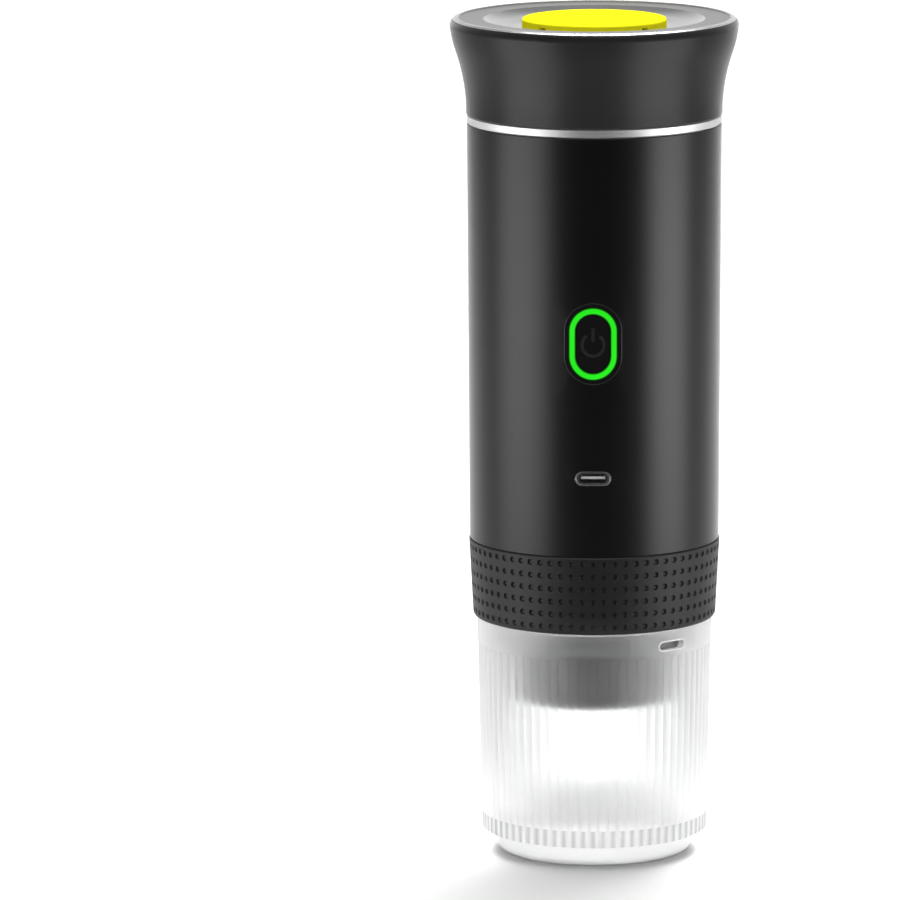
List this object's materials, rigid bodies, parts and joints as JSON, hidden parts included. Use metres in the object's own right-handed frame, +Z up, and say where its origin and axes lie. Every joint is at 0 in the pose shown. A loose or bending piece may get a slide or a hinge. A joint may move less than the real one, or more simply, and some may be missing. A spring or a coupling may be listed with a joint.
{
  "type": "portable espresso maker",
  "caption": "Battery espresso maker: slim black body with lit power button, flared twist-off lid with pull-out vent cap, dimpled grip ring and clear fluted cup.",
  "frame": {"origin": "middle of the cup's foot, on the surface that the maker stands on", "axes": "+Z up along the maker's axis, -Y towards the power button, +X to its right as seen from the front"},
  "size_m": [0.0816, 0.0816, 0.2389],
  "materials": {
    "clear_plastic": "clear, moulded ribs",
    "black_anodised": "satin black anodised metal",
    "bright_trim": "satin bright ring",
    "grey_plate": "satin pressed plate",
    "yellow_silicone": "soft matte silicone",
    "dark_silicone": "soft matte silicone",
    "white_silicone": "translucent silicone",
    "dark_plastic": "moulded, fine texture",
    "black_gloss": "smooth gloss",
    "light_guide": "lit diffuser",
    "white_plastic": "moulded, natural",
    "stainless": "pressed stainless",
    "zinc_screw": "plated",
    "nickel": "nickel plated",
    "cell_wrap": "shrink sleeve",
    "board": "solder mask",
    "component_black": "moulded package",
    "motor_can": "plated steel",
    "gear_plastic": "acetal"
  },
  "bodies": {
    "cup": {"cup": "clear_plastic"},
    "brew_head": {"head_collar": "dark_plastic", "grip_sleeve": "dark_silicone", "cup_seal_ring": "white_silicone", "brew_chamber": "dark_plastic", "filter_basket": "stainless"},
    "group_gasket": {"group_gasket": "white_silicone"},
    "main_body": {"base_plate": "dark_plastic", "shower_screen": "stainless", "screen_screw": "zinc_screw", "base_screws": "zinc_screw", "body_shell": "black_anodised", "trim_ring": "bright_trim", "tank_neck": "dark_plastic", "water_tank": "stainless", "heater_plate": "stainless", "temperature_probe": "component_black", "tank_fitting": "white_plastic", "battery_cells": "cell_wrap", "cell_contacts": "nickel", "battery_cradle": "white_plastic", "cell_cap": "white_plastic", "cradle_screws": "zinc_screw", "pump_motor": "motor_can", "pump_housing": "white_plastic", "pump_cover": "white_plastic", "inlet_hose": "white_silicone", "outlet_hose": "white_silicone", "control_board": "board", "board_components": "component_black", "button_bezel": "black_gloss", "light_ring": "light_guide", "tact_switch": "component_black", "usb_c_socket": "stainless", "usb_c_tongue": "component_black"},
    "power_button": {"power_button": "black_gloss", "switch_plunger": "component_black"},
    "pump_drive": {"drive_gear": "gear_plastic"},
    "pump_idler": {"idler_gear": "gear_plastic"},
    "lid_gasket": {"lid_gasket": "white_silicone"},
    "lid": {"lid_shell": "black_anodised", "lid_top_plate": "grey_plate", "lid_liner": "dark_plastic", "lid_screws": "zinc_screw", "vent_valve": "white_silicone"},
    "vent_plug": {"vent_plug": "yellow_silicone"}
  },
  "joints": [
    {"name": "cup_lift", "type": "slide", "parent": "cup", "child": "brew_head", "axis": [0, 0, 1], "range_m": [0, 0.04]},
    {"name": "body_rise", "type": "slide", "parent": "brew_head", "child": "group_gasket", "axis": [0, 0, 1], "range_m": [0, 0.01]},
    {"name": "body_turn", "type": "hinge", "parent": "group_gasket", "child": "main_body", "pos_m": [0, 0, 0.0903], "axis": [0, 0, 1], "range_deg": [0, 150]},
    {"name": "lid_rise", "type": "slide", "parent": "main_body", "child": "lid_gasket", "axis": [0, 0, 1], "range_m": [0, 0.014]},
    {"name": "lid_turn", "type": "hinge", "parent": "lid_gasket", "child": "lid", "pos_m": [0, 0, 0.2116], "axis": [0, 0, 1], "range_deg": [0, 420]},
    {"name": "vent_plug_pull", "type": "slide", "parent": "lid", "child": "vent_plug", "axis": [0, 0, 1], "range_m": [0, 0.012]},
    {"name": "button_press", "type": "slide", "parent": "main_body", "child": "power_button", "axis": [0, 1, 0], "range_m": [0, 0.0006], "stiffness_N_per_m": 800},
    {"name": "pump_spin", "type": "hinge", "parent": "main_body", "child": "pump_drive", "pos_m": [0, 0, 0.1293], "axis": [0, 0, 1], "continuous": true},
    {"name": "idler_spin", "type": "hinge", "parent": "main_body", "child": "pump_idler", "pos_m": [0, -0.0084, 0.1293], "axis": [0, 0, 1], "continuous": true}
  ],
  "couplings": [
    {"joint": "body_rise", "follows": "body_turn", "m_per_rad": 0.0038197},
    {"joint": "lid_rise", "follows": "lid_turn", "m_per_rad": 0.0019099},
    {"joint": "idler_spin", "follows": "pump_spin", "ratio": -1}
  ]
}
